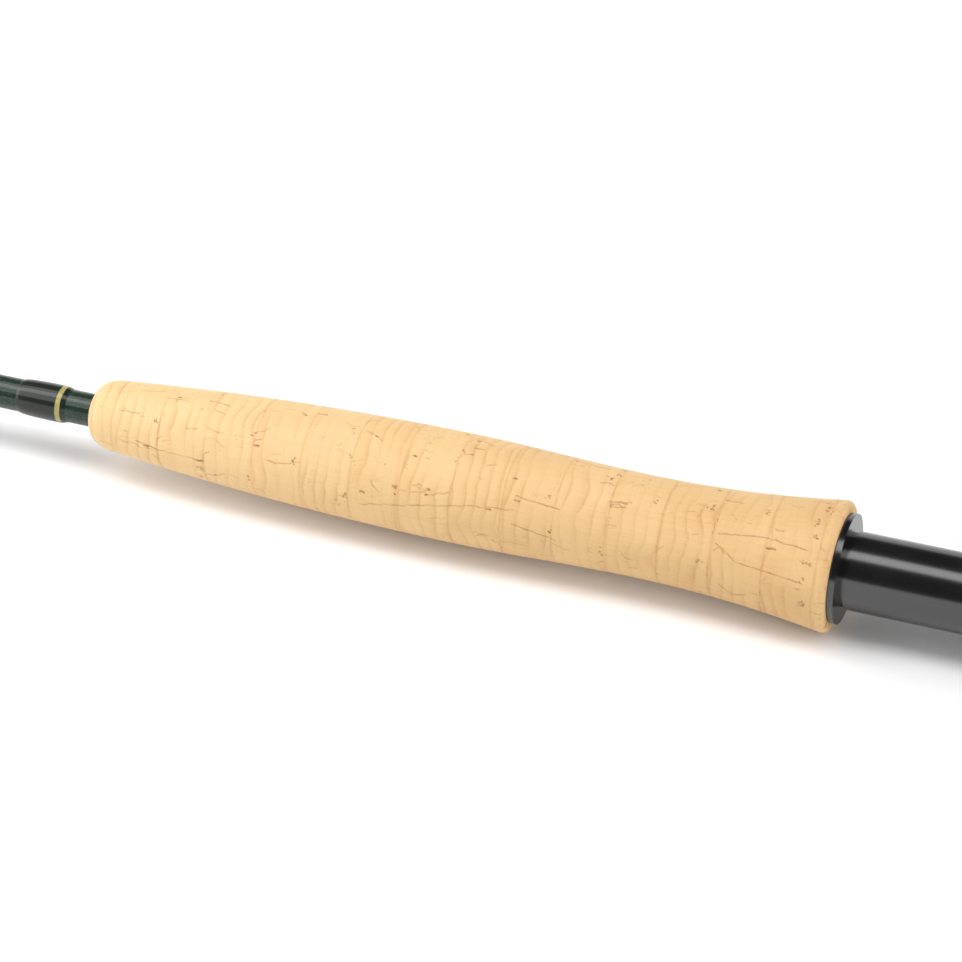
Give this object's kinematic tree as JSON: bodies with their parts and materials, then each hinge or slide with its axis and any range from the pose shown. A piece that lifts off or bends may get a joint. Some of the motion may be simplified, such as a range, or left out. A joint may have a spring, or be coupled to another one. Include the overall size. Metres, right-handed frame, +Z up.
{
  "type": "fly rod with reel",
  "caption": "Four-section fly rod with a reversed half-wells cork grip, a black down-locking seat and a large-arbor disc-drag reel.",
  "frame": {"origin": "centre of the butt button's rear face, on the rod's axis", "axes": "+X along the rod to the tip, +Z up with the rod lying on its side, -Y towards the reel and the guides; the reel's spindle is along Z and its handle faces +Z"},
  "size_m": [2.286, 0.1159, 0.0495],
  "materials": {
    "graphite_blank": "clear-coated dark green graphite",
    "thread_wrap": "blackish-green thread under clear varnish",
    "gold_thread": "gold thread under clear varnish",
    "guide_wire": "polished hard-chromed wire",
    "guide_ceramic": "polished grey ceramic",
    "cork": "sanded natural cork with dark pores",
    "anodised_black": "satin black anodised",
    "fibre_arbor": "pressed fibre",
    "rubber_button": "matte",
    "screw_steel": "machined",
    "reel_grey": "satin dark grey anodised",
    "carbon_disc": "woven carbon friction disc",
    "bushing_bronze": "sintered bronze",
    "handle_black": "turned black knob"
  },
  "bodies": {
    "butt_section": {"butt_blank": "graphite_blank", "keeper_wrap": "thread_wrap", "keeper_trim_band": "gold_thread", "hook_keeper": "guide_wire", "cork_ring_01": "cork", "cork_ring_02": "cork", "cork_ring_03": "cork", "cork_ring_04": "cork", "cork_ring_05": "cork", "cork_ring_06": "cork", "cork_ring_07": "cork", "cork_ring_08": "cork", "cork_ring_09": "cork", "cork_ring_10": "cork", "cork_ring_11": "cork", "cork_ring_12": "cork", "cork_ring_13": "cork", "cork_ring_14": "cork", "cork_ring_15": "cork", "cork_ring_16": "cork", "seat_barrel": "anodised_black", "seat_flange": "anodised_black", "seat_arbors": "fibre_arbor", "butt_cap": "anodised_black", "butt_button": "rubber_button", "reel_foot": "anodised_black", "foot_screws": "screw_steel", "reel_frame": "reel_grey", "spindle": "screw_steel", "drag_housing": "reel_grey", "drag_discs": "carbon_disc", "pressure_plate": "screw_steel", "spring_washers": "screw_steel"},
    "lower_mid_section": {"lower_mid_blank": "graphite_blank", "ferrule_wrap_lower": "thread_wrap", "stripping_guide_frame": "guide_wire", "stripping_guide_ring": "guide_ceramic", "snake_guides_lower": "guide_wire", "guide_wraps_lower": "thread_wrap"},
    "upper_mid_section": {"upper_mid_blank": "graphite_blank", "ferrule_wrap_middle": "thread_wrap", "snake_guides_middle": "guide_wire", "guide_wraps_middle": "thread_wrap"},
    "tip_section": {"tip_blank": "graphite_blank", "ferrule_wrap_tip": "thread_wrap", "snake_guides_tip": "guide_wire", "guide_wraps_tip": "thread_wrap", "tip_top": "guide_wire"},
    "hood": {"sliding_hood": "anodised_black"},
    "nut": {"hood_nut": "anodised_black"},
    "second_nut": {"lock_nut": "anodised_black"},
    "drag_dial": {"drag_knob": "anodised_black"},
    "spool_unit": {"spool": "reel_grey", "spool_bushings": "bushing_bronze", "clutch_bearing": "screw_steel", "handle_post": "screw_steel", "handle_screw": "screw_steel", "counterweight": "screw_steel"},
    "handle": {"handle_knob": "handle_black"},
    "release_cap": {"spool_cap": "screw_steel"}
  },
  "joints": [
    {"name": "lower_ferrule", "type": "slide", "parent": "butt_section", "child": "lower_mid_section", "axis": [1, 0, 0], "range_m": [0, 0.06]},
    {"name": "middle_ferrule", "type": "slide", "parent": "lower_mid_section", "child": "upper_mid_section", "axis": [1, 0, 0], "range_m": [0, 0.06]},
    {"name": "tip_ferrule", "type": "slide", "parent": "upper_mid_section", "child": "tip_section", "axis": [1, 0, 0], "range_m": [0, 0.06]},
    {"name": "hood_slide", "type": "slide", "parent": "butt_section", "child": "hood", "axis": [1, 0, 0], "range_m": [0, 0.0106]},
    {"name": "hood_nut_turn", "type": "hinge", "parent": "hood", "child": "nut", "pos_m": [0.095, 0, 0], "axis": [1, 0, 0], "range_deg": [0, 2520]},
    {"name": "lock_nut_turn", "type": "hinge", "parent": "hood", "child": "second_nut", "pos_m": [0.103, 0, 0], "axis": [1, 0, 0], "range_deg": [0, 2521]},
    {"name": "drag_knob_turn", "type": "hinge", "parent": "butt_section", "child": "drag_dial", "pos_m": [0.04575, -0.0595, -0.012], "axis": [0, 0, 1], "range_deg": [0, 300]},
    {"name": "spool_spin", "type": "hinge", "parent": "butt_section", "child": "spool_unit", "pos_m": [0.04575, -0.0595, 0], "axis": [0, 0, 1], "continuous": true},
    {"name": "handle_spin", "type": "hinge", "parent": "spool_unit", "child": "handle", "pos_m": [0.07575, -0.0595, 0.024], "axis": [0, 0, 1], "continuous": true},
    {"name": "spool_cap_turn", "type": "hinge", "parent": "butt_section", "child": "release_cap", "pos_m": [0.04575, -0.0595, 0.014], "axis": [0, 0, 1], "range_deg": [0, 720]}
  ],
  "couplings": [
    {"joint": "hood_slide", "follows": "hood_nut_turn", "m_per_rad": 0.00023873},
    {"joint": "lock_nut_turn", "follows": "hood_nut_turn", "ratio": 1}
  ]
}
